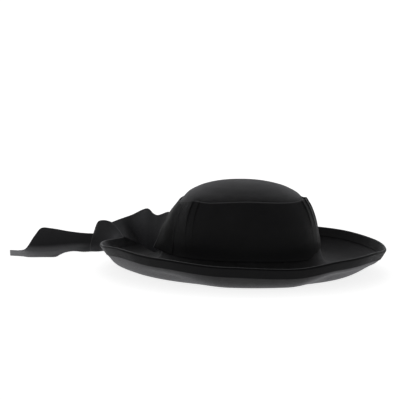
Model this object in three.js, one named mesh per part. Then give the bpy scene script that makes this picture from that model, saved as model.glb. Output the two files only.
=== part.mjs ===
// A breton hat of black wool felt: a round crown, a brim turned up all round, a ribbon binding
// on the rim, a wide ribbon band with tucks, a fold of ribbon at the back, and one long streamer.
// Units are millimetres, +Z is up, +X is the front of the hat, and it stands on its brim at z = 0.
import * as THREE from "three";
import { mergeVertices } from "three/addons/utils/BufferGeometryUtils.js";

// Driving dimensions
const HEAD_ROUND = 560; // inside of the crown, measured round
const OVAL = 7.5; // half of how much longer than wide the crown is
const RIM_OVAL = 6; // the same at the rim
const FELT = 2.4; // thickness of the felt
const RIM_RADIUS = 165; // mean radius of the rim
const RIM_HEIGHT = 28.5; // mean height of the rim
const BRIM_FORWARD = 2; // how much further the brim reaches in front than behind, halved
const CROWN_LEAN = 2; // how far the crown's top leans to the front
const RIBBON = 1; // thickness of the band's ribbon
const STREAMER_THICKNESS = 1.2;
const BINDING_THICKNESS = 0.8;
const BINDING_DEPTH = 11; // how far the folded binding reaches down each side of the rim
const GAP = 0.4; // air between two pieces that touch
const BINDING_GAP = 0.52; // air between the felt and its binding, before the rim flares
const TABLE_GAP = 0.1; // air under the streamer where it lies down

const SEGMENTS = 60; // of the felt and the binding, round the hat
const FULL_TURN = 360;
const LEAN_STARTS = 40; // the heights over which the crown leans
const LEAN_ENDS = 95;
const CREST_FLATNESS = 0.75; // how far in the binding turns over the rim's edge, as a share of its distance
const TOP_BEND = 4; // the power of a band height's share by which the ribbon stands off near its top edge
const MERGE_WITHIN = 1e-4;
const CROWN_RADIUS = HEAD_ROUND / (2 * Math.PI) + FELT; // outer mean radius where the crown meets the brim

const FLAT_STARTS = 27; // how far outside the crown the brim comes down flat
// The felt's middle surface, from the top of the crown down and out to the flat of the brim.
const crownProfile = [
  { radius: 0, height: 105.3 },
  { radius: 15, height: 105.1 },
  { radius: 30, height: 103.5 },
  { radius: 45, height: 99.8 },
  { radius: 55, height: 95.5 },
  { radius: 63, height: 90.5 },
  { radius: 70, height: 82.2 },
  { radius: CROWN_RADIUS - 14.8, height: 73 },
  { radius: CROWN_RADIUS - 7.7, height: 58 },
  { radius: CROWN_RADIUS - 3.6, height: 40 },
  { radius: CROWN_RADIUS - 1.2, height: 22 },
  { radius: CROWN_RADIUS + 4, height: 10 },
  { radius: CROWN_RADIUS + 14, height: 3.6 },
  { radius: CROWN_RADIUS + FLAT_STARTS, height: FELT / 2 },
];
const FLAT_WIDTH = 10; // the ring of the brim that lies flat on the table
// From the flat ring out and up to the rim.
const rollProfile = [
  { radius: CROWN_RADIUS + FLAT_STARTS + FLAT_WIDTH, height: FELT / 2 },
  { radius: RIM_RADIUS - 24, height: 3.6 },
  { radius: RIM_RADIUS - 14, height: 8.8 },
  { radius: RIM_RADIUS - 6.4, height: 16 },
  { radius: RIM_RADIUS, height: RIM_HEIGHT },
];
const CROWN_STEPS = 15;
const ROLL_STEPS = 6;

// How far the wavy rim and the belly of the roll below it rise, and how far the rim flares out.
const rimWave = [
  { angle: 0, rise: 2.6, belly: 3.2, out: 1.5 },
  { angle: 20, rise: -1.5, belly: 3.2, out: 1.8 },
  { angle: 45, rise: -0.4, belly: 0, out: 1.2 },
  { angle: 72, rise: 1.8, belly: 0, out: 0 },
  { angle: 110, rise: 1, belly: 0, out: 0 },
  { angle: 150, rise: -1.5, belly: 0, out: 0 },
  { angle: 180, rise: -6.5, belly: 0, out: 1.5 },
  { angle: 212, rise: -1, belly: -1.6, out: 4.2 },
  { angle: 240, rise: 5.5, belly: -0.2, out: 1 },
  { angle: 262, rise: 2.8, belly: 3, out: 0 },
  { angle: 292, rise: -1.4, belly: -2.4, out: 0 },
  { angle: 318, rise: -3.8, belly: -1.4, out: 0 },
  { angle: 340, rise: 1.2, belly: 4.4, out: 0 },
];
const WAVE_STARTS = 130; // radius inside which the brim lies still on the table
const BELLY_RADIUS = 150; // where the belly of the roll is
const FLARE_STARTS = 14; // height where the rim begins to flare

// Heights of the band's two edges, by the angle from the front.
const bandEdges = [
  { angle: 7, bottom: 25, top: 85 },
  { angle: 20, bottom: 28, top: 84.6 },
  { angle: 34, bottom: 25, top: 84.6 },
  { angle: 55, bottom: 21, top: 86.5 },
  { angle: 120, bottom: 20, top: 87 },
  { angle: 170, bottom: 20, top: 84 },
  { angle: 214, bottom: 20, top: 80.5 },
  { angle: 252, bottom: 20.5, top: 84.4 },
  { angle: 300, bottom: 21.5, top: 88 },
  { angle: 350, bottom: 19.5, top: 85.5 },
];
const BAND_BENDS = { low: 31, high: 79 }; // between these heights the ribbon bends where the felt does
const TOP_EASE = 0.3; // how much looser it lies at its top edge

// Each tuck folds the ribbon over itself: it steps out by its depth at the angle, and fades to one side.
const tucks = [
  { angle: 3, depth: 0.8, side: 1, fade: 24 },
  { angle: 11, depth: 0.8, side: 1, fade: 24 },
  { angle: 19, depth: 0.8, side: 1, fade: 24 },
  { angle: 122, depth: 1.2, side: 1, fade: 12 },
  { angle: 130, depth: 1, side: 1, fade: 12 },
  { angle: 138, depth: 1, side: 1, fade: 12 },
  { angle: 246, depth: 0.8, side: -1, fade: 6 },
  { angle: 253, depth: 0.8, side: -1, fade: 9 },
];
const STEP_ANGLE = 0.5; // over which a tuck steps out
const TOP_STANDOFF = 1.6; // how much further a tucked ribbon's straight top edge stands off the dome

// The fold of ribbon over the band's join: each row runs from its sewn edge to its free edge.
// Each of its points has an angle from the front and a distance off the felt.
const foldRows = [
  { height: 78.5, points: [[230, 2.9], [221, 2.8], [212, 2.8]] },
  { height: 65, points: [[233.5, 2.6], [221, 3], [209, 2.8]] },
  { height: 50, points: [[235.5, 2.8], [222, 3.6], [208.5, 4.3]] },
  { height: 34, points: [[237, 2.8], [222.5, 4.4], [208.5, 7.9]] },
  { height: 20, points: [[237, 2.8], [222.5, 4], [211, 11.8]] },
];

// Where the streamer leaves the band, under the fold's free edge.
const streamerRoot = [
  { angle: 205, height: 15, off: 3.7 },
  { angle: 204, height: 40, off: 3.7 },
  { angle: 203, height: 64, off: 3.3 },
];
// The streamer, from there to its cut end: three points across the ribbon in each row.
// A row with a crease is folded sharp: over the rim, and where the ribbon turns on the table.
const streamerRows = [
  { low: [-105.5, -30.5, 13.3], middle: [-108, -24, 35.1], high: [-112, -13.5, 57.3] },
  { low: [-113, -26, 13.7], middle: [-119, -16.5, 36], high: [-122, -7, 57.7] },
  { low: [-122, -20.5, 14.5], middle: [-130, -9, 37.5], high: [-138.5, 4.5, 61.6] },
  { low: [-144.5, -8, 17.4], middle: [-165, 11.5, 31.3], high: [-177, 24.5, 47.9] },
  { low: [-160, -8, 23], middle: [-183, 16.5, 32.4], high: [-202, 32, 39.2] },
  { low: [-170, -4, 25.5], middle: [-192.5, 17, 29.4], high: [-213, 32.5, 34.8], crease: true },
  { low: [-178.5, -6, 19], middle: [-199.5, 18, 25.6], high: [-218.5, 32, 36.3] },
  { low: [-194, 2, 5], middle: [-213, 19, 17], high: [-225, 31.5, 36.8] },
  { low: [-211, 1, 0.8], middle: [-225, 18, 9.5], high: [-233, 30.5, 34.6] },
  { low: [-220, -5, 0.8], middle: [-236.5, 17, 4.4], high: [-240, 29, 18.2], crease: true },
  { low: [-227, -12, 0.8], middle: [-244.5, 10.5, 2.3], high: [-250, 18.5, 19.6] },
  { low: [-241, -14, 0.8], middle: [-255, 2, 2.8], high: [-262, 6, 22.4] },
  { low: [-244, -27, 0.8], middle: [-262, -12, 3.7], high: [-277, -13, 27.7] },
  { low: [-239.5, -45.5, 0.8], middle: [-266, -22, 2.5], high: [-286, -22.5, 28.6] },
  { low: [-235, -62, 0.8], middle: [-271, -32, 1.7], high: [-291, -31, 19.2] },
  { low: [-245.5, -70, 0.8], middle: [-279, -44, 0.8], high: [-299, -41, 2.3] },
  { low: [-261.5, -80, 0.8], middle: [-286, -56, 0.8], high: [-304.5, -46.5, 0.8] },
  { low: [-275.5, -79.5, 0.8], middle: [-295, -62, 0.8], high: [-311, -49, 0.8] },
  { low: [-290, -83, 0.8], middle: [-303, -67, 0.8], high: [-316, -51, 0.8] },
];
const STEPS_BETWEEN_ROWS = 3;
const FOLD_STEPS_ACROSS = 6;
const STREAMER_STEPS_ACROSS = 8;

const radians = THREE.MathUtils.degToRad;

// A smooth periodic curve through the rows of a table, read at one angle.
function readRound(rows, column, angle) {
  const at = THREE.MathUtils.euclideanModulo(angle, FULL_TURN);
  const next = rows.findIndex((row) => row.angle > at);
  const right = next < 0 ? 0 : next;
  const pick = (i) => rows[THREE.MathUtils.euclideanModulo(i, rows.length)];
  const from = pick(right - 1);
  const to = pick(right);
  const span = THREE.MathUtils.euclideanModulo(to.angle - from.angle, FULL_TURN);
  const share = THREE.MathUtils.euclideanModulo(at - from.angle, FULL_TURN) / span;
  const eased = share * share * (3 - 2 * share);
  return THREE.MathUtils.lerp(from[column], to[column], eased);
}

// The hat's plan is an oval: each mean radius is stretched to the front and narrowed at the sides.
function stretch(radius) {
  const inner = OVAL * Math.min(1, radius / CROWN_RADIUS);
  const out = THREE.MathUtils.smoothstep(radius, CROWN_RADIUS, RIM_RADIUS);
  return THREE.MathUtils.lerp(inner, RIM_OVAL, out);
}

// A point of the hat from its mean radius, its height before the rim's waves, and its angle.
function place(radius, height, angle) {
  const { smoothstep } = THREE.MathUtils;
  const more = stretch(radius);
  const rolled = smoothstep(radius, WAVE_STARTS, RIM_RADIUS);
  const overBelly = 1 - smoothstep(radius, BELLY_RADIUS, RIM_RADIUS);
  const bellied = smoothstep(radius, WAVE_STARTS, BELLY_RADIUS) * overBelly;
  const rise = readRound(rimWave, "rise", angle) * rolled + readRound(rimWave, "belly", angle) * bellied;
  const raised = Math.max(0, (height - FLARE_STARTS) / (RIM_HEIGHT - FLARE_STARTS));
  const flare = readRound(rimWave, "out", angle) * raised * rolled;
  const inCrown = 1 - smoothstep(radius, CROWN_RADIUS, CROWN_RADIUS + FLAT_STARTS);
  const lean = CROWN_LEAN * smoothstep(height, LEAN_STARTS, LEAN_ENDS) * inCrown;
  return new THREE.Vector3(
    (radius + more + flare) * Math.cos(radians(angle)) + BRIM_FORWARD * rolled + lean,
    (radius - more + flare) * Math.sin(radians(angle)),
    height + rise,
  );
}

// Stations of the felt's middle surface, each with the outward normal in the profile's plane.
function feltStations() {
  const curveOf = (rows) => new THREE.SplineCurve(rows.map((row) => new THREE.Vector2(row.radius, row.height)));
  const read = (rows, steps) => {
    const curve = curveOf(rows);
    return Array.from({ length: steps + 1 }, (_, i) => {
      const tangent = curve.getTangentAt(i / steps);
      return { at: curve.getPointAt(i / steps), normal: new THREE.Vector2(-tangent.y, tangent.x) };
    });
  };
  const crown = read(crownProfile, CROWN_STEPS);
  const roll = read(rollProfile, ROLL_STEPS);
  const up = new THREE.Vector2(0, 1);
  crown[0].normal.copy(up);
  crown.at(-1).normal.copy(up);
  roll[0].normal.copy(up);
  return [...crown, ...roll];
}
const stations = feltStations();

// A point of the profile moved off the middle surface, to the outside where distance is positive.
function offStation(station, distance) {
  return station.at.clone().addScaledVector(station.normal, distance);
}

// The felt's outer profile: its mean radius at a height of the crown's side.
const outerCrown = stations.slice(0, CROWN_STEPS + 1).map((station) => offStation(station, FELT / 2));

function outerAt(height) {
  const below = outerCrown.findIndex((point) => point.y <= height);
  const a = outerCrown[below - 1];
  const b = outerCrown[below];
  const share = (a.y - height) / (a.y - b.y);
  const along = new THREE.Vector2().subVectors(b, a).normalize();
  return { radius: THREE.MathUtils.lerp(a.x, b.x, share), normal: new THREE.Vector2(-along.y, along.x) };
}

// A point on the crown, a distance off its outer surface.
function onCrown(angle, height, off) {
  const { radius, normal } = outerAt(height);
  return place(radius + normal.x * off, height + normal.y * off, angle);
}

function geometryFrom(points, faces) {
  const geometry = new THREE.BufferGeometry().setFromPoints(points);
  geometry.setIndex(faces.flat());
  return geometry;
}

// A closed ring: loops[i] is the closed section at step i, and the last one joins the first.
function ringGeometry(loops) {
  const size = loops[0].length;
  const faces = [];
  loops.forEach((_, i) => {
    const here = i * size;
    const next = ((i + 1) % loops.length) * size;
    for (let k = 0; k < size; k += 1) {
      const other = (k + 1) % size;
      faces.push([here + k, next + other, next + k], [here + k, here + other, next + other]);
    }
  });
  return geometryFrom(loops.flat(), faces);
}

// A closed sheet: a grid of points given a thickness, half to each side.
function sheetGeometry(grid, thickness) {
  const rows = grid.length;
  const columns = grid[0].length;
  const normalAt = (i, j) => {
    const along = new THREE.Vector3().subVectors(grid[Math.min(i + 1, rows - 1)][j], grid[Math.max(i - 1, 0)][j]);
    const across = new THREE.Vector3().subVectors(
      grid[i][Math.min(j + 1, columns - 1)],
      grid[i][Math.max(j - 1, 0)],
    );
    return along.cross(across).normalize();
  };
  const side = (sign) =>
    grid.flatMap((row, i) =>
      row.map((point, j) => point.clone().addScaledVector(normalAt(i, j), (sign * thickness) / 2)),
    );
  const points = [...side(1), ...side(-1)];
  const under = rows * columns;
  const index = (i, j) => i * columns + j;
  const faces = [];
  const quad = (a, b, c, d) => faces.push([a, b, c], [a, c, d]);
  for (let i = 0; i < rows - 1; i += 1) {
    for (let j = 0; j < columns - 1; j += 1) {
      quad(index(i, j), index(i + 1, j), index(i + 1, j + 1), index(i, j + 1));
      quad(under + index(i, j), under + index(i, j + 1), under + index(i + 1, j + 1), under + index(i + 1, j));
    }
    quad(index(i, 0), under + index(i, 0), under + index(i + 1, 0), index(i + 1, 0));
    const last = columns - 1;
    quad(index(i, last), index(i + 1, last), under + index(i + 1, last), under + index(i, last));
  }
  for (let j = 0; j < columns - 1; j += 1) {
    quad(index(0, j), index(0, j + 1), under + index(0, j + 1), under + index(0, j));
    const end = rows - 1;
    quad(index(end, j), under + index(end, j), under + index(end, j + 1), index(end, j + 1));
  }
  return geometryFrom(points, faces);
}

// A smooth grid through rows of three points each, from one row to the last, both included.
function smoothGrid(rows, stepsBetweenRows, acrossSteps) {
  const curveOf = (points) => new THREE.CatmullRomCurve3(points, false, "centripetal");
  const lines = rows[0].map((_, k) => curveOf(rows.map((row) => row[k])));
  const steps = stepsBetweenRows * (rows.length - 1);
  return Array.from({ length: steps + 1 }, (_, i) => {
    const across = curveOf(lines.map((line) => line.getPoint(i / steps)));
    return Array.from({ length: acrossSteps + 1 }, (_, j) => across.getPoint(j / acrossSteps));
  });
}

function feltGeometry() {
  const outer = stations.map((station) => offStation(station, FELT / 2));
  const inner = stations.map((station) => offStation(station, -FELT / 2)).reverse();
  const profile = [...outer, ...inner];
  profile.forEach((point) => {
    point.y = Math.max(point.y, 0);
  });
  const loops = Array.from({ length: SEGMENTS }, (_, i) => {
    const angle = (FULL_TURN * i) / SEGMENTS;
    return profile.map((point) => place(Math.max(point.x, 0), point.y, angle));
  });
  return withoutSlivers(ringPart(loops));
}

// The profile starts and ends on the axis, so the loop is open there: the axis points are shared.
function ringPart(loops) {
  const size = loops[0].length;
  const faces = [];
  loops.forEach((_, i) => {
    const here = i * size;
    const next = ((i + 1) % loops.length) * size;
    for (let k = 0; k < size - 1; k += 1) {
      faces.push([here + k, here + k + 1, next + k + 1], [here + k, next + k + 1, next + k]);
    }
  });
  return geometryFrom(loops.flat(), faces);
}

// The same faces with their shared points merged, less those that close up to nothing on the axis.
function withoutSlivers(geometry) {
  const merged = mergeVertices(geometry, MERGE_WITHIN);
  const kept = [];
  const index = merged.index.array;
  for (let i = 0; i < index.length; i += 3) {
    const [a, b, c] = index.subarray(i, i + 3);
    if (a !== b && b !== c && c !== a) kept.push(a, b, c);
  }
  merged.setIndex(kept);
  return merged;
}

// The binding: one ribbon folded over the rim, following the felt on both sides.
function bindingGeometry() {
  const rim = stations.slice(CROWN_STEPS + 1);
  const end = rim.at(-1);
  const walk = [];
  let reached = 0;
  for (let i = rim.length - 1; i > 0 && reached < BINDING_DEPTH; i -= 1) {
    walk.push(rim[i]);
    reached += rim[i].at.distanceTo(rim[i - 1].at);
  }
  const last = walk.at(-1);
  const before = rim[rim.indexOf(last) - 1];
  const excess = reached - BINDING_DEPTH;
  const share = 1 - excess / last.at.distanceTo(before.at);
  walk.push({
    at: last.at.clone().lerp(before.at, share),
    normal: last.normal.clone().lerp(before.normal, share).normalize(),
  });
  const near = FELT / 2 + BINDING_GAP;
  const far = near + BINDING_THICKNESS;
  const over = new THREE.Vector2(end.normal.y, -end.normal.x);
  const cap = (distance, sign) => {
    const side = offStation(end, sign * distance * CREST_FLATNESS);
    return side.addScaledVector(over, distance - FELT / 2);
  };
  const lineOf = (distance) => [
    ...walk.map((station) => offStation(station, distance)).reverse(),
    cap(distance, 1),
    cap(distance, -1),
    ...walk.map((station) => offStation(station, -distance)),
  ];
  const section = [...lineOf(far), ...lineOf(near).reverse()];
  const loops = Array.from({ length: SEGMENTS }, (_, i) =>
    section.map((point) => place(point.x, point.y, (FULL_TURN * i) / SEGMENTS)),
  );
  return ringGeometry(loops);
}

// How far the tucks lift the ribbon at an angle.
function tuckLift(angle) {
  return tucks.reduce((sum, tuck) => {
    const half = FULL_TURN / 2;
    const turned = THREE.MathUtils.euclideanModulo((angle - tuck.angle) * tuck.side + half, FULL_TURN) - half;
    const step = THREE.MathUtils.smoothstep(turned, -STEP_ANGLE, 0);
    const fade = 1 - THREE.MathUtils.smoothstep(turned, 0, tuck.fade);
    return sum + tuck.depth * step * fade;
  }, 0);
}

function bandAngles() {
  const even = Array.from({ length: SEGMENTS }, (_, i) => (FULL_TURN * i) / SEGMENTS);
  const steps = tucks.flatMap(({ angle, side }) => [angle - side * STEP_ANGLE, angle]);
  const near = (a, b) => Math.abs(a - b) < 2 * STEP_ANGLE;
  const clear = even.filter((angle) => !steps.some((step) => near(step, angle)));
  return [...clear, ...steps].sort((a, b) => a - b);
}

function bandGeometry() {
  const between = (height) => height > BAND_BENDS.low && height < BAND_BENDS.high;
  const bends = outerCrown.map((point) => point.y).filter(between).reverse();
  const loops = bandAngles().map((angle) => {
    const bottom = readRound(bandEdges, "bottom", angle);
    const top = readRound(bandEdges, "top", angle);
    const lift = tuckLift(angle);
    const heights = [bottom, ...bends, top];
    const line = (off) => heights.map((height) => onCrown(angle, height, off((height - bottom) / (top - bottom))));
    const inside = (share) => GAP + TOP_EASE * share ** TOP_BEND;
    const standoff = (share) => TOP_STANDOFF * Math.min(1, lift) * share ** TOP_BEND;
    const outside = (share) => inside(share) + RIBBON + lift * (1 - share / 4) + standoff(share);
    return [...line(inside), ...line(outside).reverse()];
  });
  return ringGeometry(loops);
}

function foldGeometry() {
  const rows = foldRows.map(({ height, points }) =>
    points.map(([angle, off]) => onCrown(angle, height, off)),
  );
  return sheetGeometry(smoothGrid(rows, STEPS_BETWEEN_ROWS, FOLD_STEPS_ACROSS), RIBBON);
}

function streamerGeometry() {
  const start = streamerRoot.map(({ angle, height, off }) => onCrown(angle, height, off));
  const loose = streamerRows.map(({ low, middle, high }) =>
    [low, middle, high].map((point) => new THREE.Vector3(...point)),
  );
  const rows = [start, ...loose];
  const breaks = [0, ...streamerRows.flatMap((row, i) => (row.crease ? [i + 1] : [])), rows.length - 1];
  const grid = breaks.slice(1).flatMap((end, k) => {
    const stretchOfRows = smoothGrid(rows.slice(breaks[k], end + 1), STEPS_BETWEEN_ROWS, STREAMER_STEPS_ACROSS);
    return k === 0 ? stretchOfRows : stretchOfRows.slice(1);
  });
  const lowest = STREAMER_THICKNESS / 2 + TABLE_GAP;
  grid.flat().forEach((point) => point.setZ(Math.max(point.z, lowest)));
  return sheetGeometry(grid, STREAMER_THICKNESS);
}

const feltBlack = new THREE.MeshStandardMaterial({ color: 0x17161a, roughness: 0.95, metalness: 0 });
const ribbonBlack = new THREE.MeshStandardMaterial({ color: 0x111114, roughness: 0.7, metalness: 0 });

const hat = new THREE.Group();
function add(name, geometry, material) {
  const mesh = new THREE.Mesh(geometry, material);
  mesh.name = name;
  hat.add(mesh);
}
add("crown_and_brim", feltGeometry(), feltBlack);
add("rim_binding", bindingGeometry(), ribbonBlack);
add("hat_band", bandGeometry(), ribbonBlack);
add("band_fold", foldGeometry(), ribbonBlack);
add("streamer", streamerGeometry(), ribbonBlack);

// The origin is under the middle of the whole piece's box.
const box = new THREE.Box3().setFromObject(hat, true);
const middle = box.getCenter(new THREE.Vector3());
hat.children.forEach((mesh) => mesh.geometry.translate(-middle.x, -middle.y, -box.min.z));

export default hat;
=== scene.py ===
"""A breton hat of black wool felt: a ribbon-bound rim turned up all round, a wide grosgrain band with
tucks, a fold of ribbon over the band's join, and one long streamer that lies on the table.

Sizes in the tables are millimetres and angles are degrees from the front of the hat (+X).
Every mesh becomes metres as it is made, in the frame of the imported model."""

import math

import bpy
import numpy as np
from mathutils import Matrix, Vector


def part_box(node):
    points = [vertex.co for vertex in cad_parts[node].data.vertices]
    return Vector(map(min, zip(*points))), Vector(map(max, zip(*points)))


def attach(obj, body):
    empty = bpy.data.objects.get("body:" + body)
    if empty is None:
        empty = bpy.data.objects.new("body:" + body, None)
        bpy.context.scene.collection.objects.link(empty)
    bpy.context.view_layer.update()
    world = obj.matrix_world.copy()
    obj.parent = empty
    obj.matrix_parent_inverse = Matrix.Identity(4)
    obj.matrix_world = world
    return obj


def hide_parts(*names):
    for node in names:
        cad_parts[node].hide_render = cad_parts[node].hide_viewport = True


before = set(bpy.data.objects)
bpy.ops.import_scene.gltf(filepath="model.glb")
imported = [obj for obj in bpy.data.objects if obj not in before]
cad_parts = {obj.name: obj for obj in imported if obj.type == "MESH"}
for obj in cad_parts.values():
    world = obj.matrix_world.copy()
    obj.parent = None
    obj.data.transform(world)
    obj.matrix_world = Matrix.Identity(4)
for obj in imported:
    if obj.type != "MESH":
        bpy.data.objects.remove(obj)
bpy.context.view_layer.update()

MM = 0.001
FULL_TURN = 360


def table(columns, rows):
    """Rows of numbers as dictionaries with the columns' names."""
    return [dict(zip(columns.split(), row)) for row in rows]


# ---------------------------------------------------------------- driving sizes
# They are the solids' own, but for the ribbons' thickness and how closely they lie, and for the low
# points of three rows of the streamer, which lie up to 2 mm from the thicker solid's.
HEAD_ROUND = 560  # inside of the crown, measured round
OVAL = 7.5  # half of how much longer than wide the crown is
RIM_OVAL = 6  # and half of how much longer than wide the rim is
FELT = 2.4  # thickness of the felt
RIM_RADIUS = 165
RIM_HEIGHT = 28.5
BRIM_FORWARD = 2  # how far the rim lies to the front of the crown's centre
CROWN_LEAN = 2  # how far the crown's top leans to the front
LEAN_STARTS = 40  # the height where it begins to lean
LEAN_ENDS = 95
CROWN_RADIUS = HEAD_ROUND / (2 * math.pi) + FELT
FLAT_STARTS = 27  # how far outside the crown the brim comes down flat
FLAT_WIDTH = 10  # of the ring that lies flat on the table
WAVE_STARTS = 130  # radius inside which the brim lies still on the table
BELLY_RADIUS = 150
FLARE_STARTS = 14  # height where the rim begins to flare
BINDING_DEPTH = 11  # how far down both faces of the felt the binding reaches

CROWN_PROFILE = [  # radius and height of the felt's middle surface, from the top down to the flat ring
    (0, 105.3),
    (15, 105.1),
    (30, 103.5),
    (45, 99.8),
    (55, 95.5),
    (63, 90.5),
    (70, 82.2),
    (CROWN_RADIUS - 14.8, 73),
    (CROWN_RADIUS - 7.7, 58),
    (CROWN_RADIUS - 3.6, 40),
    (CROWN_RADIUS - 1.2, 22),
    (CROWN_RADIUS + 4, 10),
    (CROWN_RADIUS + 14, 3.6),
    (CROWN_RADIUS + FLAT_STARTS, FELT / 2),
]
ROLL_PROFILE = [  # from the flat ring out and up to the rim
    (CROWN_RADIUS + FLAT_STARTS + FLAT_WIDTH, FELT / 2),
    (RIM_RADIUS - 24, 3.6),
    (RIM_RADIUS - 14, 8.8),
    (RIM_RADIUS - 6.4, 16),
    (RIM_RADIUS, RIM_HEIGHT),
]
RIM_WAVE = table("angle rise belly out", [  # how the rim and the roll's belly rise, and how the rim flares
    (0, 2.6, 3.2, 1.5), (20, -1.5, 3.2, 1.8), (45, -0.4, 0, 1.2), (72, 1.8, 0, 0), (110, 1, 0, 0),
    (150, -1.5, 0, 0), (180, -6.5, 0, 1.5), (212, -1, -1.6, 4.2), (240, 5.5, -0.2, 1), (262, 2.8, 3, 0),
    (292, -1.4, -2.4, 0), (318, -3.8, -1.4, 0), (340, 1.2, 4.4, 0),
])  # fmt: skip
BAND_EDGES = table("angle bottom top", [
    (7, 25, 85), (20, 28, 84.6), (34, 25, 84.6), (55, 21, 86.5), (120, 20, 87), (170, 20, 84),
    (214, 20, 80.5), (252, 20.5, 84.4), (300, 21.5, 88), (350, 19.5, 85.5),
])  # fmt: skip
TUCKS = table("angle side fade lean", [  # folded edge, to which side it is folded, its fade and its lean
    (122, 1, 12, 0), (130, 1, 12, 0), (138, 1, 12, 0),
    (246, -1, 6, 9), (253, -1, 9, 9),
    (363, 1, 24, 5), (371, 1, 24, 5), (379, 1, 24, 5),
])  # fmt: skip
LEAN_REACH = 16  # how far from a tuck its ribbon still leans with it
LEAN_SHARED = 2  # the leans of neighbouring tucks add up, so each is divided by this
TUCK_UNDER = 6  # how far a tuck doubles back
TUCK_PRESSED = 0.06  # how much of a tuck's thickness is left where it is pressed flat at its foot
TUCK_RISES = (0.35, 0.95)  # shares of the band's height between which a tuck comes to its full thickness
TUCK_MIDDLE = 4  # angle from a tuck's folded edge to its middle
TUCK_REACH = (4, 16)  # angles from that middle between which the band comes back to the crown
LAYER = 0.5  # from one layer of folded ribbon to the next
BAND_STARTS = 60  # an angle where the band lies plain
RIBBON = 0.42  # thickness of the ribbons
SELVEDGE = 0.12  # how much thicker, to each side, a ribbon's woven edge is
BAND_OFF = 0.55  # the band's middle surface from the felt
TOP_EASE = 0.8  # how much further it stands off at its top edge
TOP_STANDOFF = 1.1  # and more where it is tucked
TOP_BEND = 5  # the power of its share of the height with which it does both

# The fold over the band's join: rows from the top down, each from its sewn edge to its free edge.
FOLD_ROWS = table("height sewn sewn_off middle middle_off free free_off", [
    (78.5, 230, 1.8, 221, 2.0, 212, 2.0),
    (65, 233.5, 1.3, 221, 2.3, 209, 2.8),
    (50, 235.5, 1.2, 222, 2.7, 208.5, 4.3),
    (34, 237, 1.2, 222.5, 3.2, 208.5, 7.9),
    (20, 237, 1.4, 222.5, 2.6, 211, 11.8),
])  # fmt: skip
FOLD_LOOP = (0.25, 0.9)  # radius of the doubled edge at its top and at its foot

# The streamer leaves the band under the fold. Each row has three points across the ribbon.
STREAMER_ROOT = [  # angle round the crown, height, and distance off the felt
    [(214, 15, 2.0), (214, 38, 1.9), (213, 61, 1.7)],
    [(205, 15, 3.7), (204, 40, 3.7), (203, 64, 3.3)],
]
STREAMER_ROWS = table("low middle high crease", [
    ((-105.5, -30.5, 13.3), (-108, -24, 35.1), (-112, -13.5, 57.3), False),
    ((-113, -26, 13.7), (-119, -16.5, 36), (-122, -7, 57.7), False),
    ((-122, -20.5, 14.5), (-130, -9, 37.5), (-138.5, 4.5, 61.6), False),
    ((-144.5, -8, 17.4), (-165, 11.5, 31.3), (-177, 24.5, 47.9), False),
    ((-160, -8, 22.8), (-183, 16.5, 32.4), (-202, 32, 39.2), False),
    ((-170, -4, 23.6), (-192.5, 17, 29.4), (-213, 32.5, 34.8), True),
    ((-177, -6, 18.5), (-199.5, 18, 25.6), (-218.5, 32, 36.3), False),
    ((-194, 2, 5), (-213, 19, 17), (-225, 31.5, 36.8), False),
    ((-211, 1, 0.8), (-225, 18, 9.5), (-233, 30.5, 34.6), False),
    ((-220, -5, 0.8), (-236.5, 17, 4.4), (-240, 29, 18.2), True),
    ((-227, -12, 0.8), (-244.5, 10.5, 2.3), (-250, 18.5, 19.6), False),
    ((-241, -14, 0.8), (-255, 2, 2.8), (-262, 6, 22.4), False),
    ((-244, -27, 0.8), (-262, -12, 3.7), (-277, -13, 27.7), False),
    ((-239.5, -45.5, 0.8), (-266, -22, 2.5), (-286, -22.5, 28.6), False),
    ((-235, -62, 0.8), (-271, -32, 1.7), (-291, -31, 19.2), False),
    ((-245.5, -70, 0.8), (-279, -44, 0.8), (-299, -41, 2.3), False),
    ((-261.5, -80, 0.8), (-286, -56, 0.8), (-304.5, -46.5, 0.8), False),
    ((-275.5, -79.5, 0.8), (-295, -62, 0.8), (-311, -49, 0.8), False),
    ((-290, -83, 0.8), (-303, -67, 0.8), (-316, -51, 0.8), False),
])  # fmt: skip
STREAMER_LIFT = 0.5  # the lowest its middle surface lies over the table

# The hat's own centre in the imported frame: the felt's box is centred on it but for BRIM_FORWARD.
felt_low, felt_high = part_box("crown_and_brim")
HAT_X = (felt_low.x + felt_high.x) / 2 / MM - BRIM_FORWARD
HAT_Y = (felt_low.y + felt_high.y) / 2 / MM


# ---------------------------------------------------------------- curves
SHORTEST_CHORD = 0.01  # keeps points that coincide from dividing by nothing
SHORTEST_NORMAL = 1e-9  # and so does this for a ribbon's normals
ROUNDING = 1e-6  # added to the end of a range, so that its last value is in it


def smoothstep(value, low, high):
    share = np.clip((value - low) / (high - low), 0, 1)
    return share * share * (3 - 2 * share)


def read_round(rows, column, angle):
    """A smooth periodic curve through a table's rows, read at the angles."""
    knots = np.array([row["angle"] for row in rows] + [rows[0]["angle"] + FULL_TURN], float)
    values = np.array([row[column] for row in rows] + [rows[0][column]], float)
    at = np.mod(angle, FULL_TURN)
    at = np.where(at < knots[0], at + FULL_TURN, at)
    i = np.clip(np.searchsorted(knots, at, side="right") - 1, 0, len(rows) - 1)
    share = (at - knots[i]) / (knots[i + 1] - knots[i])
    return values[i] + (values[i + 1] - values[i]) * share * share * (3 - 2 * share)


def hermite(a, b, slope_a, slope_b, share):
    square = share * share
    cube = square * share
    return (
        a * (2 * cube - 3 * square + 1)
        + slope_a * (cube - 2 * square + share)
        + b * (3 * square - 2 * cube)
        + slope_b * (cube - square)
    )


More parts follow.
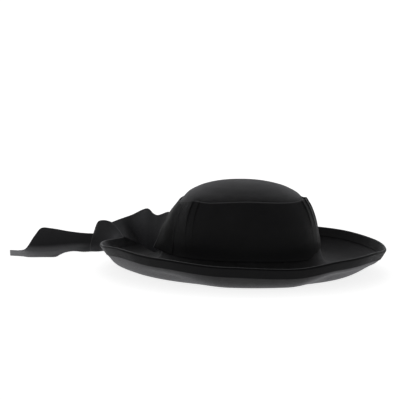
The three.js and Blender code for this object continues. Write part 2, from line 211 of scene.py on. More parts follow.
def profile_curve(rows, per_span=40):
    """A smooth line through the rows of a profile, finely sampled."""
    points = np.array(rows, float)
    padded = np.vstack([points[:1], points, points[-1:]])
    slopes = (padded[2:] - padded[:-2]) / 2
    shares = np.linspace(0, 1, per_span + 1)[:-1, None]
    spans = [
        hermite(points[i], points[i + 1], slopes[i], slopes[i + 1], shares)
        for i in range(len(points) - 1)
    ]
    return np.vstack([*spans, points[-1:]])


def spread(line, count):
    """The same line, resampled at even distances."""
    reach = np.append(0, np.cumsum(np.linalg.norm(np.diff(line, axis=0), axis=1)))
    at = np.linspace(0, reach[-1], count + 1)
    return np.stack([np.interp(at, reach, line[:, k]) for k in range(line.shape[1])], axis=1)


def smooth_rows(rows, shares):
    """A curve through points, rows[i] at share i, that keeps clear of overshoots. rows is (n, ..., 3)."""
    rows = np.asarray(rows, float)
    padded = np.concatenate([[2 * rows[0] - rows[1]], rows, [2 * rows[-1] - rows[-2]]])
    chord = np.sqrt(np.linalg.norm(np.diff(padded, axis=0), axis=-1, keepdims=True))
    chord = np.maximum(chord, SHORTEST_CHORD)
    out = []
    for share in shares:
        i = min(int(share), len(rows) - 2)
        before, span, after = chord[i], chord[i + 1], chord[i + 2]
        p0, p1, p2, p3 = padded[i : i + 4]
        slope_a = ((p1 - p0) / before - (p2 - p0) / (before + span) + (p2 - p1) / span) * span
        slope_b = ((p2 - p1) / span - (p3 - p1) / (span + after) + (p3 - p2) / after) * span
        out.append(hermite(p1, p2, slope_a, slope_b, share - i))
    return np.array(out)


# ---------------------------------------------------------------- the felt's surface
WOBBLES = table("round up phase size", [  # slow unevenness of hand-blocked felt
    (3, 0.021, 0.4, 0.16),
    (5, 0.034, 2.1, 0.12),
    (8, 0.047, 4.4, 0.08),
    (13, 0.09, 1.3, 0.04),
])  # fmt: skip
WOBBLE_RISES = (4, 30)  # heights between which it grows from nothing


def wobble(height, angle):
    """How far the felt stands out of its true form, in and out of the crown's side."""
    turn = np.radians(angle)
    waves = [w["size"] * np.sin(w["round"] * turn + w["up"] * height + w["phase"]) for w in WOBBLES]
    return sum(waves) * smoothstep(height, *WOBBLE_RISES)


def place(radius, height, angle):
    """A point of the hat: its mean radius is stretched to front and back, and the rim rises in waves."""
    radius, height, angle = np.broadcast_arrays(radius, height, angle)
    inner = OVAL * np.minimum(1, radius / CROWN_RADIUS)
    out = smoothstep(radius, CROWN_RADIUS, RIM_RADIUS)
    more = inner + (RIM_OVAL - inner) * out
    rolled = smoothstep(radius, WAVE_STARTS, RIM_RADIUS)
    past_belly = smoothstep(radius, BELLY_RADIUS, RIM_RADIUS)
    bellied = smoothstep(radius, WAVE_STARTS, BELLY_RADIUS) * (1 - past_belly)
    rise = read_round(RIM_WAVE, "rise", angle) * rolled + read_round(RIM_WAVE, "belly", angle) * bellied
    raised = np.maximum(0, (height - FLARE_STARTS) / (RIM_HEIGHT - FLARE_STARTS))
    flare = read_round(RIM_WAVE, "out", angle) * raised * rolled
    in_crown = 1 - smoothstep(radius, CROWN_RADIUS, CROWN_RADIUS + FLAT_STARTS)
    lean = CROWN_LEAN * smoothstep(height, LEAN_STARTS, LEAN_ENDS) * in_crown
    uneven = wobble(height, angle) * smoothstep(radius, 0, CROWN_RADIUS / 2)
    turn = np.radians(angle)
    return np.stack([
        HAT_X + (radius + more + uneven + flare) * np.cos(turn) + BRIM_FORWARD * rolled + lean,
        HAT_Y + (radius - more + uneven + flare) * np.sin(turn),
        height + rise,
    ], axis=-1)  # fmt: skip


def with_normals(line):
    """Each point of a profile with the outward normal in the profile's plane."""
    tangent = np.gradient(line, axis=0)
    tangent /= np.linalg.norm(tangent, axis=1, keepdims=True)
    normal = np.stack([-tangent[:, 1], tangent[:, 0]], axis=1)
    return line, normal


CROWN_STEPS = 90
ROLL_STEPS = 40
crown_line, crown_normal = with_normals(spread(profile_curve(CROWN_PROFILE), CROWN_STEPS))
roll_line, roll_normal = with_normals(spread(profile_curve(ROLL_PROFILE), ROLL_STEPS))
crown_normal[[0, -1]] = (0, 1)
roll_normal[0] = (0, 1)
felt_line = np.vstack([crown_line, roll_line])
felt_normal = np.vstack([crown_normal, roll_normal])
outer_crown = crown_line + crown_normal * FELT / 2


def on_crown(angle, height, off):
    """A point on the crown, a distance off its outer surface."""
    heights = outer_crown[::-1, 1]

    def column(values):
        return np.interp(height, heights, values[::-1])

    normal = np.stack([column(crown_normal[:, 0]), column(crown_normal[:, 1])])
    normal = normal / np.linalg.norm(normal, axis=0)
    return place(column(outer_crown[:, 0]) + normal[0] * off, height + normal[1] * off, angle)


# ---------------------------------------------------------------- meshes
EDGE_PLACES = np.array([0, 0.1, 0.25, 0.5, 0.8, 1.1, 1.5, 2.2, 3.2])  # columns, in from a ribbon's edge
COLUMN_STEP = 1.8  # from column to column further in
EDGE_ROUNDED = 0.6  # how far in a ribbon's edge is rounded, in thicknesses
EDGE_THINNEST = 0.25  # how much of its thickness is left at the very edge
WOVEN_AT = 0.8  # how far in the woven edge is thickest
WOVEN_SPREAD = 0.5


def make_object(name, points, faces, material, tone, corners=None):
    """A mesh object in metres, with the corners' places on the flat ribbon.

    tone is how far the material moves each point's colour: a ribbon's towards painted light, the felt's
    towards painted shade.
    """
    mesh = bpy.data.meshes.new(name)
    mesh.from_pydata((np.asarray(points) * MM).tolist(), [], [tuple(face) for face in faces])
    if corners is not None:
        mesh.uv_layers.new(name="ribbon").data.foreach_set("uv", np.asarray(corners, np.float32).ravel())
    values = tone.astype(np.float32).ravel()
    mesh.attributes.new("tone", "FLOAT", "POINT").data.foreach_set("value", values)
    mesh.materials.append(material)
    mesh.shade_smooth()
    made = bpy.data.objects.new(name, mesh)
    bpy.context.collection.objects.link(made)
    return made


def signed_volume(points, quads):
    a, b, c, d = (points[quads[:, k]] for k in range(4))
    pieces = np.einsum("ij,ij->i", a, np.cross(b, c)) + np.einsum("ij,ij->i", a, np.cross(c, d))
    return pieces.sum() / 6


def grid_quads(row, step, following, beside, size):
    """Quads from each row of points to the following one, and from each step in it to the one beside."""
    corners = (row * size + step, row * size + beside, following * size + beside, following * size + step)
    return np.stack(np.broadcast_arrays(*corners), axis=-1).reshape(-1, 4)


def edge_shares(width, step=COLUMN_STEP):
    """Places across a ribbon, from 0 to 1, closer together at its two edges."""
    near = EDGE_PLACES
    middle = np.linspace(near[-1], width - near[-1], max(2, round((width - 2 * near[-1]) / step)) + 1)
    return np.concatenate([near[:-1], middle, width - near[:-1][::-1]]) / width


def ribbon_object(name, grid, material, light, ring=False):
    """A closed ribbon from a grid of its middle points: rows along it and columns across it.

    Returns it with its flat width and length in metres.
    """
    rows, columns = grid.shape[:2]
    along = np.roll(grid, -1, 0) - np.roll(grid, 1, 0) if ring else np.gradient(grid, axis=0)
    normal = np.cross(along, np.gradient(grid, axis=1))
    normal /= np.maximum(np.linalg.norm(normal, axis=2, keepdims=True), SHORTEST_NORMAL)
    middle = grid[:, columns // 2]
    closed = np.vstack([middle, middle[:1]]) if ring else middle
    reach = np.append(0, np.cumsum(np.linalg.norm(np.diff(closed, axis=0), axis=1)))
    wide = np.append(0, np.cumsum(np.linalg.norm(np.diff(grid, axis=1), axis=2).mean(axis=0)))
    edge = np.minimum(wide, wide[-1] - wide)
    rounded = np.sqrt(1 - (1 - np.minimum(edge / (RIBBON * EDGE_ROUNDED), 1)) ** 2)
    woven = SELVEDGE * np.exp(-(((edge - WOVEN_AT) / WOVEN_SPREAD) ** 2)) * rounded
    half = RIBBON / 2 * np.maximum(rounded, EDGE_THINNEST) + woven
    offset = normal * half[None, :, None]
    points = np.concatenate([grid + offset, (grid - offset)[:, ::-1]], axis=1).reshape(-1, 3)
    size = 2 * columns
    row = np.arange(rows if ring else rows - 1)[:, None]
    step = np.arange(size)[None, :]
    following = (row + 1) % rows
    beside = (step + 1) % size
    quads = grid_quads(row, step, following, beside, size)
    across = np.concatenate([wide, wide[::-1]])
    corners = ((row, step), (row, beside), (row + 1, beside), (row + 1, step))
    places = [np.stack(np.broadcast_arrays(reach[i], across[j]), -1) for i, j in corners]
    places = np.stack(places, axis=2).reshape(-1, 4, 2)
    if not ring:
        j = np.arange(columns - 1)
        end = (rows - 1) * size
        start_cap = np.stack([j, size - 1 - j, size - 2 - j, j + 1], axis=1)
        end_cap = end + start_cap[:, ::-1]
        start_places = [np.stack([np.zeros(columns - 1), wide[k]], 1) for k in (j, j, j + 1, j + 1)]
        start_places = np.stack(start_places, axis=1)
        end_places = start_places[:, ::-1].copy()
        end_places[:, :, 0] = reach[-1]
        quads = np.vstack([quads, start_cap, end_cap])
        places = np.concatenate([places, start_places, end_places])
    if signed_volume(points, quads) < 0:
        quads = quads[:, ::-1]
        places = places[:, ::-1]
    both_faces = np.concatenate([light, light[:, ::-1]], axis=1)
    made = make_object(name, points, quads.tolist(), material, both_faces, places)
    return made, (wide[-1] * MM, reach[-1] * MM)


# ---------------------------------------------------------------- materials
def new_material(name, colour, roughness, specular, sheen, sheen_roughness, sheen_tint):
    material = bpy.data.materials.new(name)
    material.use_nodes = True
    nodes = material.node_tree.nodes
    shader = nodes["Principled BSDF"]
    shader.inputs["Base Color"].default_value = (*colour, 1)
    shader.inputs["Roughness"].default_value = roughness
    shader.inputs["Specular IOR Level"].default_value = specular
    shader.inputs["Sheen Weight"].default_value = sheen
    shader.inputs["Sheen Roughness"].default_value = sheen_roughness
    shader.inputs["Sheen Tint"].default_value = (*sheen_tint, 1)
    return material, nodes, material.node_tree.links, shader


def add_node(nodes, kind, **settings):
    """A new node with its attributes, or its inputs by name where they start with a capital."""
    node = nodes.new(kind)
    for key, value in settings.items():
        if key[0].isupper():
            node.inputs[key.replace("_", " ")].default_value = value
        else:
            setattr(node, key, value)
    return node


def two_colours(nodes, low, low_colour, high, high_colour):
    """A ramp from one colour to another between two values."""
    ramp = nodes.new("ShaderNodeValToRGB")
    ends = ramp.color_ramp.elements
    ends[0].position = low
    ends[0].color = (*low_colour, 1)
    ends[1].position = high
    ends[1].color = (*high_colour, 1)
    return ramp


def toned(nodes, links, colour, limit):
    """A colour moved towards the limit by the mesh's tone of painted light or painted shade."""
    tone = add_node(nodes, "ShaderNodeAttribute", attribute_name="tone")
    mix = add_node(nodes, "ShaderNodeMix", data_type="RGBA")
    mix.inputs["B"].default_value = limit
    links.new(tone.outputs["Fac"], mix.inputs["Factor"])
    links.new(colour, mix.inputs["A"])
    return mix.outputs["Result"]


FELT_SHADE_COLOUR = (0.004, 0.004, 0.0041, 1)  # the colour of the painted shade that the felt's tone leads to


def felt_material():
    """Black wool felt: mottled wool, a matted surface of short crossing fibres, a soft nap, and painted
    shade where its tone is set.
    """
    material, nodes, links, shader = new_material(
        "felt_black",
        colour=(0.016, 0.0158, 0.0165),
        roughness=0.93,
        specular=0.2,
        sheen=0.34,
        sheen_roughness=0.5,
        sheen_tint=(0.89, 0.89, 0.93),
    )
    place_node = add_node(nodes, "ShaderNodeTexCoord")
    mottle = add_node(nodes, "ShaderNodeTexNoise", Scale=90, Detail=5, Roughness=0.65)
    matted = add_node(nodes, "ShaderNodeTexNoise", Scale=620, Detail=5, Roughness=0.75, Distortion=1.6)
    nap = add_node(nodes, "ShaderNodeTexNoise", Scale=1900, Detail=3, Roughness=0.8, Distortion=0.6)
    for texture in (mottle, matted, nap):
        links.new(place_node.outputs["Object"], texture.inputs["Vector"])
    wool = two_colours(nodes, 0.3, (0.0112, 0.0111, 0.0114), 0.72, (0.0232, 0.023, 0.0236))
    links.new(mottle.outputs["Fac"], wool.inputs["Fac"])
    fibres = add_node(nodes, "ShaderNodeMix", data_type="RGBA", blend_type="MULTIPLY", Factor=0.55)
    links.new(wool.outputs["Color"], fibres.inputs["A"])
    speckle = add_node(nodes, "ShaderNodeMapRange", From_Min=0.3, From_Max=0.7, To_Min=0.45, To_Max=1.5)
    links.new(matted.outputs["Fac"], speckle.inputs["Value"])
    links.new(speckle.outputs["Result"], fibres.inputs["B"])
    # The tone paints shade into the base colour, on the brim under the streamer.
    links.new(toned(nodes, links, fibres.outputs["Result"], FELT_SHADE_COLOUR), shader.inputs["Base Color"])
    coarse = add_node(nodes, "ShaderNodeBump", Strength=0.5, Distance=0.0006)
    fine = add_node(nodes, "ShaderNodeBump", Strength=0.45, Distance=0.0002)
    links.new(matted.outputs["Fac"], coarse.inputs["Height"])
    links.new(nap.outputs["Fac"], fine.inputs["Height"])
    links.new(coarse.outputs["Normal"], fine.inputs["Normal"])
    links.new(fine.outputs["Normal"], shader.inputs["Normal"])
    return material


RIB_PITCH = 0.85  # from one rib of the grosgrain to the next
RIBBON_PAINTED_LIGHT = (0.26, 0.26, 0.27, 1)  # the colour of the painted light and highlights that a ribbon's tone leads to


def ribbon_material(name, brightness, specular, sheen=0.05, roughness=(0.5, 0.68)):
    """Black grosgrain: round ribs across the ribbon, fine warp threads along it, uneven dye, and painted
    shade between the ribs.
    """
    material, nodes, links, shader = new_material(
        name,
        colour=(0.009, 0.009, 0.01),
        roughness=0.58,
        specular=specular,
        sheen=sheen,
        sheen_roughness=0.35,
        sheen_tint=(0.9, 0.92, 1),
    )
    flat = add_node(nodes, "ShaderNodeUVMap", uv_map="ribbon")
    split = add_node(nodes, "ShaderNodeSeparateXYZ")
    links.new(flat.outputs["UV"], split.inputs["Vector"])
    turns = add_node(nodes, "ShaderNodeMath", operation="MULTIPLY")
    turns.inputs[1].default_value = math.pi / RIB_PITCH
    links.new(split.outputs["X"], turns.inputs[0])
    wave = add_node(nodes, "ShaderNodeMath", operation="SINE")
    links.new(turns.outputs["Value"], wave.inputs[0])
    rib = add_node(nodes, "ShaderNodeMath", operation="ABSOLUTE")
    links.new(wave.outputs["Value"], rib.inputs[0])
    stretch = add_node(nodes, "ShaderNodeMapping")
    stretch.inputs["Scale"].default_value = (0.35, 5.5, 1)
    links.new(flat.outputs["UV"], stretch.inputs["Vector"])
    warp = add_node(nodes, "ShaderNodeTexNoise", Scale=1, Detail=2, Roughness=0.6)
    links.new(stretch.outputs["Vector"], warp.inputs["Vector"])
    place_node = add_node(nodes, "ShaderNodeTexCoord")
    uneven = add_node(nodes, "ShaderNodeTexNoise", Scale=38, Detail=4, Roughness=0.6)
    links.new(place_node.outputs["Object"], uneven.inputs["Vector"])
    dark = [brightness * c for c in (0.0065, 0.0065, 0.0073)]
    light = [brightness * c for c in (0.0115, 0.0113, 0.012)]
    dye = two_colours(nodes, 0.3, dark, 0.75, light)
    links.new(uneven.outputs["Fac"], dye.inputs["Fac"])
    # Multiplying in the rib wave darkens the colour between the ribs: painted shade in the rib valleys.
    rib_shaded = add_node(nodes, "ShaderNodeMix", data_type="RGBA", blend_type="MULTIPLY", Factor=0.7)
    shade = add_node(nodes, "ShaderNodeMapRange", To_Min=0.25, To_Max=1.25)
    links.new(rib.outputs["Value"], shade.inputs["Value"])
    links.new(dye.outputs["Color"], rib_shaded.inputs["A"])
    links.new(shade.outputs["Result"], rib_shaded.inputs["B"])
    # The tone moves the colour towards painted light: highlights on edges and creases, and lit places.
    links.new(toned(nodes, links, rib_shaded.outputs["Result"], RIBBON_PAINTED_LIGHT), shader.inputs["Base Color"])
    gloss = add_node(nodes, "ShaderNodeMapRange", From_Min=0.3, From_Max=0.7)
    gloss.inputs["To Min"].default_value = roughness[0]
    gloss.inputs["To Max"].default_value = roughness[1]
    links.new(uneven.outputs["Fac"], gloss.inputs["Value"])
    links.new(gloss.outputs["Result"], shader.inputs["Roughness"])
    ribs = add_node(nodes, "ShaderNodeBump", Strength=0.5, Distance=0.0002)
    threads = add_node(nodes, "ShaderNodeBump", Strength=0.3, Distance=0.00008)
    links.new(rib.outputs["Value"], ribs.inputs["Height"])
    links.new(warp.outputs["Fac"], threads.inputs["Height"])
    links.new(ribs.outputs["Normal"], threads.inputs["Normal"])
    links.new(threads.outputs["Normal"], shader.inputs["Normal"])
    return material


# ---------------------------------------------------------------- pieces
# The _LIGHT values are tones of painted light: painted highlights on edges and creases, and places painted
# lighter where light falls on them.
FELT_SEGMENTS = 300
FELT_EDGE = (50, 0, -50)  # angles of the points that round the felt's cut edge
FELT_EDGE_FULL = 0.6  # how full that rounding is, where 1 is half a circle
STREAMER_SHADE_ROUND = (165, 185, 238, 262)  # angles between which the brim gets painted shade under the streamer


def make_felt(material):
    outer = felt_line + felt_normal * FELT / 2
    inner = felt_line - felt_normal * FELT / 2
    end = felt_line[-1]
    over = np.array([felt_normal[-1, 1], -felt_normal[-1, 0]])
    turn = np.radians(FELT_EDGE)[:, None]
    falls = FELT / 2 * (1 - np.cos(turn)) * FELT_EDGE_FULL
    edge = end + FELT / 2 * np.sin(turn) * felt_normal[-1] - over * falls
    profile = np.vstack([outer[1:], edge, inner[::-1][:-1]])
    profile[:, 1] = np.maximum(profile[:, 1], 0)
    angles = np.arange(FELT_SEGMENTS) * FULL_TURN / FELT_SEGMENTS
    rings = place(profile[:, 0], profile[:, 1], angles[:, None])
    size = len(profile)
    # Painted shade on the brim's upper face, under the streamer.
    in_streamer_shade = np.interp(angles, STREAMER_SHADE_ROUND, (0, 1, 1, 0))[:, None]
    on_brim = smoothstep(profile[:, 0], CROWN_RADIUS, CROWN_RADIUS + FLAT_STARTS)
    upper = np.arange(size) < len(outer) - 1
    dark = np.append(in_streamer_shade * (on_brim * upper)[None, :], (0, 0))
    points = np.vstack([rings.reshape(-1, 3), place(0.0, outer[0, 1], 0.0), place(0.0, inner[0, 1], 0.0)])
    row = np.arange(FELT_SEGMENTS)[:, None]
    step = np.arange(size - 1)[None, :]
    following = (row + 1) % FELT_SEGMENTS
    quads = grid_quads(row, step, following, step + 1, size)
    top, under = len(points) - 2, len(points) - 1
    faces = quads.tolist()
    for i in range(FELT_SEGMENTS):
        here = i * size
        beside = (i + 1) % FELT_SEGMENTS * size
        faces.append([top, here, beside])
        faces.append([under, beside + size - 1, here + size - 1])
    made = make_object("felt_body", points, faces, material, dark)
    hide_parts("crown_and_brim")
    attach(made, "root")
    return made


BINDING_GAP = 0.3  # air between the felt and its binding
BINDING_STEP = 1.2  # from column to column across it
BINDING_TURN = 1.2  # angle from row to row round the rim
BINDING_STRAIGHT = 0.5  # how far below the rim its straight faces end
BINDING_CREST = 1.0  # how far over the felt's edge the binding's middle surface passes
CREST_TURN = 80  # angle to each side through which its crest is round
CREST_POINTS = 9
# Painted highlight along the binding's crest.
CREST_LIGHT = 0.5
CREST_SPREAD = 1.5  # how many columns beside the crest get the painted highlight
# Painted light on the binding's inner face.
INNER_LIGHT = 0.11
TIP_LIGHT = 0.5
TIP_ROUND = (198, 206, 213, 226)  # angles between which the binding is painted lighter all over: painted light on that stretch of the rim


def binding_section():
    """The binding's path in the felt's profile plane, from its inner edge over the rim to its outer edge."""
    reach = np.append(0, np.cumsum(np.linalg.norm(np.diff(roll_line[::-1], axis=0), axis=1)))
    distances = edge_shares(2 * BINDING_DEPTH, BINDING_STEP) * 2 * BINDING_DEPTH
    distances = distances[distances <= BINDING_DEPTH - BINDING_STRAIGHT]
    down = BINDING_DEPTH - distances
    at = np.stack([np.interp(down, reach, roll_line[::-1, k]) for k in range(2)], axis=1)
    normal = np.stack([np.interp(down, reach, roll_normal[::-1, k]) for k in range(2)], axis=1)
    off = FELT / 2 + BINDING_GAP + RIBBON / 2
    inside = at + normal * off
    outside = (at - normal * off)[::-1]
    end_normal = roll_normal[-1]
    over = np.array([end_normal[1], -end_normal[0]])
    turn = np.radians(np.linspace(CREST_TURN, -CREST_TURN, CREST_POINTS))[:, None]
    crest = roll_line[-1] + off * np.sin(turn) * end_normal + BINDING_CREST * np.cos(turn) * over
    return np.vstack([inside, crest, outside])


def make_binding(material):
    section = binding_section()
    angles = np.arange(0, FULL_TURN, BINDING_TURN)[:, None]
    grid = place(section[:, 0], section[:, 1], angles)
    columns = np.arange(len(section))
    top = np.argmax(section[:, 1])
    # Painted highlight along the crest.
    crest = CREST_LIGHT * np.exp(-(((columns - top) / CREST_SPREAD) ** 2))
    # Painted light on the inner face.
    inner = INNER_LIGHT * (columns < top)
    # Painted light on one stretch of the rim.
    tip = np.interp(angles, TIP_ROUND, (0, TIP_LIGHT, TIP_LIGHT, 0))
    made, flat = ribbon_object("binding_ribbon", grid, material, crest + inner + tip, ring=True)
    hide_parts("rim_binding")
    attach(made, "root")
    return made, flat


BAND_TURN = 1.5  # angle from row to row round the crown
TUCK_EDGE = 70  # angle to each side through which a tuck's folded edge is round
TUCK_EDGE_POINTS = 6


def tuck_path():
    """The band's middle line round the crown: angles and heights over the felt, doubled back at tucks."""
    per_degree = math.radians(1) * CROWN_RADIUS
    under = TUCK_UNDER / per_degree
    bend = LAYER / 2 / per_degree

    def level(angle, done):
        """How high the ribbon lies over its first layer, once so many tucks are passed."""
        total = np.zeros(np.shape(angle))
        for i, tuck in enumerate(TUCKS):
            if tuck["side"] > 0 and i < done:
                start = tuck["angle"] + under
                total += 2 * LAYER * (1 - smoothstep(angle, start, start + tuck["fade"]))
            if tuck["side"] < 0 and i >= done:
                start = tuck["angle"] - under
                total += 2 * LAYER * smoothstep(angle, start - tuck["fade"], start)
        return total

    def run(start, end, done, raised=0.0):
        """A plain stretch of ribbon."""
        count = max(2, round(abs(end - start) / BAND_TURN))
        angle = np.linspace(start, end, count + 1)
        return np.stack([angle, level(angle, done) + raised], axis=1)

    def turn(angle, low, outward):
        """A folded edge."""
        steps = np.radians(np.linspace(-TUCK_EDGE, TUCK_EDGE, TUCK_EDGE_POINTS))
        height = low + LAYER / 2 * (1 + np.sin(steps))
        return np.stack([angle + outward * bend * np.cos(steps), height], axis=1)

    parts = []
    at = BAND_STARTS
    for i, tuck in enumerate(TUCKS):
        edge = tuck["angle"]
        if tuck["side"] > 0:
            inner = edge + under
            parts.append(run(at, inner, i))
            low = level(np.array([inner]), i)[0]
            back = level(np.array([edge]), i)[0]
            parts.append(turn(inner, low, 1))
            parts.append(run(inner, edge, i, LAYER))
            parts.append(turn(edge, back + LAYER, -1))
        else:
            inner = edge - under
            parts.append(run(at, edge, i))
            high = level(np.array([edge]), i)[0]
            parts.append(turn(edge, high - LAYER, 1)[::-1])
            parts.append(run(edge, inner, i, -LAYER))
            back = level(np.array([inner]), i)[0]
            parts.append(turn(inner, back - 2 * LAYER, -1)[::-1])
            edge = inner
        at = edge
    parts.append(run(at, BAND_STARTS + FULL_TURN, len(TUCKS))[:-1])
    return np.vstack(parts)


def leaned(angle, share):
    """The angle of the band's points, with the tucks' edges leaning round the crown below its top edge."""
    turned = angle + np.zeros(np.shape(share))
    for tuck in TUCKS:
        away = np.abs(np.mod(angle - tuck["angle"] + 180, FULL_TURN) - 180)
        near = 1 - smoothstep(away, 0, LEAN_REACH)
        turned += tuck["side"] * -tuck["lean"] * near * (1 - share) / LEAN_SHARED
    return turned


def near_tucks(angle):
    """1 at the tucks, falling to 0 a little way from them."""
    middles = np.array([tuck["angle"] + TUCK_MIDDLE * tuck["side"] for tuck in TUCKS])
    away = np.abs(np.mod(angle[:, None] - middles + 180, FULL_TURN) - 180).min(axis=1)
    return 1 - smoothstep(away, *TUCK_REACH)


BAND_WIDTH = 70  # only spaces its columns
# Painted highlight along the band's top edge.
BAND_TOP_LIGHT = 0.3
BAND_TOP = (0.975, 1)  # shares of its height between which its top edge gets a painted highlight
# Painted light at the band's foot, near the table.
BAND_FOOT_LIGHT = 0.03
BAND_FOOT = (0, 0.45)  # and up which the painted light at its foot, near the table, fades


def make_band(material):
    path = tuck_path()
    angle = path[:, :1]
    bottom = read_round(BAND_EDGES, "bottom", angle)
    top = read_round(BAND_EDGES, "top", angle)
    shares = edge_shares(BAND_WIDTH)[None, :]
    height = bottom + (top - bottom) * shares
    ease = shares**TOP_BEND
    lift = path[:, 1:] * (TUCK_PRESSED + (1 - TUCK_PRESSED) * smoothstep(shares, *TUCK_RISES))
    off = BAND_OFF + TOP_EASE * ease + lift + TOP_STANDOFF * ease * near_tucks(path[:, 0])[:, None]
    grid = on_crown(leaned(angle, shares), height, off)
    # Painted light at the foot.
    foot = BAND_FOOT_LIGHT * (1 - smoothstep(shares, *BAND_FOOT))
    # Painted highlight along the top edge, added to the painted light at the foot.
    light = BAND_TOP_LIGHT * smoothstep(shares, *BAND_TOP) + foot
    light = np.tile(light, (len(grid), 1))
    made, flat = ribbon_object("band_ribbon", grid, material, light, ring=True)
    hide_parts("hat_band")
    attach(made, "root")
    return made, flat


FOLD_WIDTH = 34  # only spaces its columns
FOLD_STEPS = 14  # from one row of its table to the next
LOOP_POINTS = 9
LOWER_LAYER = 3  # the lower layer has the upper one's columns divided by this
# Painted highlight along the fold's free edge.
FREE_EDGE_LIGHT = 1
# Painted highlight along the fold's sewn edge.
SEWN_EDGE_LIGHT = 0.4
SEWN_EDGE_COLUMNS = 2
SEWN_EDGE_KEEPS = 0.5  # how much of that is left lower down
SEWN_EDGE_FADES = (0.3, 0.6)  # shares of the way down between which it fades
# Painted light at the fold's foot, near the table.
FOLD_FOOT_LIGHT = 0.03
FOLD_FOOT = (0.5, 1)  # shares of the way down between which the painted light at the foot grows


def make_fold(material):
    """The fold over the join: a ribbon doubled at its free edge, its lower layer running back under it."""
    sides = ("sewn", "middle", "free")
    rows = np.array([[on_crown(row[k], row["height"], row[f"{k}_off"]) for k in sides] for row in FOLD_ROWS])
    grid = across_grid(smooth_rows(rows, np.arange(0, len(rows) - 1 + ROUNDING, 1 / FOLD_STEPS)), FOLD_WIDTH)
    across = np.gradient(grid, axis=1)
    across /= np.linalg.norm(across, axis=2, keepdims=True)
    normal = np.cross(np.gradient(grid, axis=0), across)
    normal /= np.linalg.norm(normal, axis=2, keepdims=True)
    radius = np.interp(np.arange(len(grid)), [0, len(grid) - 1], FOLD_LOOP)[:, None, None]
    turn = np.radians(np.linspace(0, FULL_TURN / 2, LOOP_POINTS))[None, 1:-1, None]
    free, out, side = grid[:, -1:], normal[:, -1:], across[:, -1:]
    # The normals have to point away from the crown.
    if (out[0, 0] * (grid[0, -1] - np.array([HAT_X, HAT_Y, grid[0, -1, 2]]))).sum() < 0:
        normal, out = -normal, -out
    bend = free - out * radius * (1 - np.cos(turn)) + side * radius * np.sin(turn)
    back = (grid - 2 * radius * normal)[:, ::-1][:, : grid.shape[1] // LOWER_LAYER]
    layers = np.concatenate([grid, bend, back], axis=1)
    free_edge = grid.shape[1] - 1
    columns = np.arange(layers.shape[1])
    at_edge = (columns >= free_edge - 1) & (columns < free_edge + bend.shape[1])
    # Painted highlight along the free edge and round its doubled bend.
    light = np.where(at_edge, FREE_EDGE_LIGHT, 0)
    down = np.linspace(0, 1, len(layers))[:, None]
    kept = 1 - (1 - SEWN_EDGE_KEEPS) * smoothstep(down, *SEWN_EDGE_FADES)
    # Painted highlight along the sewn edge, weaker lower down.
    sewn = SEWN_EDGE_LIGHT * kept * (columns < SEWN_EDGE_COLUMNS)
    # Painted light at the foot.
    foot = FOLD_FOOT_LIGHT * smoothstep(down, *FOLD_FOOT)
    made, flat = ribbon_object("fold_ribbon", layers, material, light + sewn + foot)
    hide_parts("band_fold")
    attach(made, "root")
    return made, flat


def across_grid(lines, width):
    """Rows of three points each, filled in across the ribbon."""
    shares = edge_shares(width) * (lines.shape[1] - 1)
    return np.swapaxes(smooth_rows(np.swapaxes(lines, 0, 1), shares), 0, 1)


STREAMER_WIDTH = 75  # only spaces its columns
STREAMER_STEPS = 14  # from one row of its table to the next
CREASE_STEPS = np.array([0, 0.012, 0.03])  # closer rows beside a crease
# Painted highlight along the streamer's creases.
CREASE_LIGHT = 0.4
# Painted light on the streamer's loose end, strongest where it lies on the table.
TAIL_LIGHT = 0.12
TAIL = (175, 210)  # how far behind the hat's middle the painted light on the loose end grows
LYING_LIGHT = 0.65
LYING = (8, 1.5)  # heights between which the painted light grows stronger, down to where it lies on the table
LYING_ALONG = ((204, 214, 234, 250), (1, 0.08, 0.08, 1))  # how far behind the middle, and how much of it


def make_streamer(material):
    root = [[on_crown(*point) for point in row] for row in STREAMER_ROOT]
    centre = np.array([HAT_X, HAT_Y, 0])
    loose = [[centre + row[k] for k in ("low", "middle", "high")] for row in STREAMER_ROWS]
    rows = np.array(root + loose)
    creases = [i + len(root) for i, row in enumerate(STREAMER_ROWS) if row["crease"]]
    breaks = [0, *creases, len(rows) - 1]
    lines = []
    creased = []
    for start, end in zip(breaks[:-1], breaks[1:]):
        shares = np.arange(0, end - start + ROUNDING, 1 / STREAMER_STEPS)
        shares = np.concatenate([CREASE_STEPS, shares[1:-1], end - start - CREASE_STEPS[::-1]])
        part = smooth_rows(rows[start : end + 1], shares)
        at_crease = np.minimum(shares, end - start - shares) < CREASE_STEPS[-1]
        lines.append(part if start == 0 else part[1:])
        creased.append(at_crease if start == 0 else at_crease[1:])
    grid = across_grid(np.concatenate(lines), STREAMER_WIDTH)
    grid[..., 2] = np.maximum(grid[..., 2], STREAMER_LIFT)
    # Painted highlight along the creases.
    creases_light = CREASE_LIGHT * np.concatenate(creased)[:, None]
    behind = HAT_X - grid[..., 0]
    # Painted light on the loose end, stronger where it lies on the table.
    tail_painted_light = smoothstep(behind, *TAIL)
    lying_painted_light = smoothstep(grid[..., 2], *LYING) * np.interp(behind, *LYING_ALONG)
    light = creases_light + tail_painted_light * (TAIL_LIGHT + LYING_LIGHT * lying_painted_light)
    made, flat = ribbon_object("streamer_ribbon", grid, material, light)
    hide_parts("streamer")
    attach(made, "root")
    return made, flat


# ---------------------------------------------------------------- stage, light and camera
VIEW_AZIMUTH = 29.4
VIEW_ELEVATION = 9.26
VIEW_DISTANCE = 1750
AIM_HEIGHT = 28  # the height in the hat that the view is turned about
FRAME_LEFT = 50.5  # the middle of the frame is this far left of the hat's centre
FRAME_UP = 53.5  # and this far above that height
LENS = 129.7
SENSOR = 36

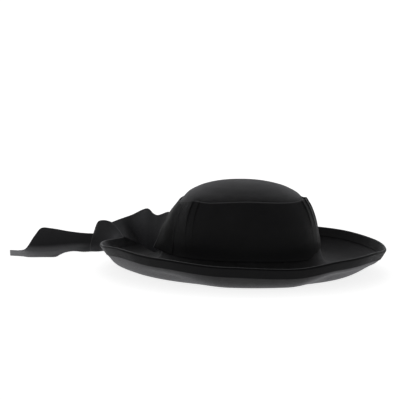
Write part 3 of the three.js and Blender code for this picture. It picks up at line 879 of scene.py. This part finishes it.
FLOOR_SIZE = 40  # metres from the middle to each side
FLOOR_GREY = 0.82
FLOOR_GLOW = 0.8

ROOM_DIM = 0.24
ROOM_BRIGHT = 1.1
ROOM_TURNS = (0.6, 0.95)  # nearly the cosines, from straight behind, between which it grows bright
ROOM_BELOW = 0.15  # how far the brightest place lies below the horizon
BOX_SIZE = (1.6, 0.9)  # metres
BOX_PLACE = (-0.75, 1.3, 1.5)
BOX_AIM = (0, 0, 0.05)
BOX_POWER = 5


def make_camera():
    turn, rise = math.radians(VIEW_AZIMUTH), math.radians(VIEW_ELEVATION)
    back = Vector((math.sin(turn) * math.cos(rise), -math.cos(turn) * math.cos(rise), math.sin(rise)))
    right = Vector((math.cos(turn), math.sin(turn), 0))
    up = back.cross(right)
    centre = Vector((HAT_X, HAT_Y, AIM_HEIGHT))
    aim = centre - right * FRAME_LEFT + up * FRAME_UP
    camera = bpy.data.objects.new("camera", bpy.data.cameras.new("camera"))
    camera.location = (centre + back * VIEW_DISTANCE) * MM
    camera.rotation_euler = (aim * MM - camera.location).to_track_quat("-Z", "Y").to_euler()
    camera.data.lens = LENS
    camera.data.sensor_width = SENSOR
    bpy.context.collection.objects.link(camera)
    bpy.context.scene.camera = camera


def make_floor():
    size = FLOOR_SIZE
    mesh = bpy.data.meshes.new("floor")
    corners = [(-size, -size, 0), (size, -size, 0), (size, size, 0), (-size, size, 0)]
    mesh.from_pydata(corners, [], [(0, 1, 2, 3)])
    floor = bpy.data.objects.new("floor", mesh)
    bpy.context.collection.objects.link(floor)
    material = bpy.data.materials.new("floor_white")
    material.use_nodes = True
    shader = material.node_tree.nodes["Principled BSDF"]
    shader.inputs["Base Color"].default_value = (FLOOR_GREY, FLOOR_GREY, FLOOR_GREY, 1)
    shader.inputs["Roughness"].default_value = 0.9
    shader.inputs["Specular IOR Level"].default_value = 0.1
    shader.inputs["Emission Color"].default_value = (1, 1, 1, 1)
    shader.inputs["Emission Strength"].default_value = FLOOR_GLOW
    mesh.materials.append(material)


def make_light():
    """A white room, bright behind the hat and dim beside and in front of it, and a soft box up behind it."""
    world = bpy.data.worlds.new("studio")
    bpy.context.scene.world = world
    world.use_nodes = True
    nodes, links = world.node_tree.nodes, world.node_tree.links
    sky = nodes["Background"]
    place_node = add_node(nodes, "ShaderNodeTexCoord")
    turn = math.radians(VIEW_AZIMUTH)
    behind = add_node(nodes, "ShaderNodeVectorMath", operation="DOT_PRODUCT")
    behind.inputs[1].default_value = (-math.sin(turn), math.cos(turn), -ROOM_BELOW)
    links.new(place_node.outputs["Generated"], behind.inputs[0])
    level = add_node(nodes, "ShaderNodeMapRange", interpolation_type="SMOOTHSTEP")
    level.inputs["From Min"].default_value = ROOM_TURNS[0]
    level.inputs["From Max"].default_value = ROOM_TURNS[1]
    level.inputs["To Min"].default_value = ROOM_DIM
    level.inputs["To Max"].default_value = ROOM_BRIGHT
    links.new(behind.outputs["Value"], level.inputs["Value"])
    links.new(level.outputs["Result"], sky.inputs["Strength"])
    sky.inputs["Color"].default_value = (1, 1, 1, 1)
    light = bpy.data.lights.new("soft_box", "AREA")
    light.shape = "RECTANGLE"
    light.size, light.size_y = BOX_SIZE
    light.energy = BOX_POWER
    lamp = bpy.data.objects.new("soft_box", light)
    lamp.location = BOX_PLACE
    lamp.rotation_euler = (Vector(BOX_AIM) - lamp.location).to_track_quat("-Z", "Y").to_euler()
    bpy.context.collection.objects.link(lamp)
    bpy.context.scene.view_settings.view_transform = "Standard"


make_camera()
make_floor()
make_light()

felt = make_felt(felt_material())
# The four grosgrains are one black ribbon: the fold's and the binding's darker base colours are painted
# shade, the streamer's lighter one is painted light.
band_material = ribbon_material("grosgrain_black", brightness=1.05, specular=0.16)
fold_material = ribbon_material("grosgrain_fold", brightness=0.75, specular=0.09)
binding_material = ribbon_material("grosgrain_binding", brightness=0.65, specular=0.06)
streamer_material = ribbon_material(
    "grosgrain_streamer", brightness=1.7, specular=0.03, sheen=0.26, roughness=(0.4, 0.55)
)
binding, binding_flat = make_binding(binding_material)
band, band_flat = make_band(band_material)
fold, fold_flat = make_fold(fold_material)
streamer, streamer_flat = make_streamer(streamer_material)
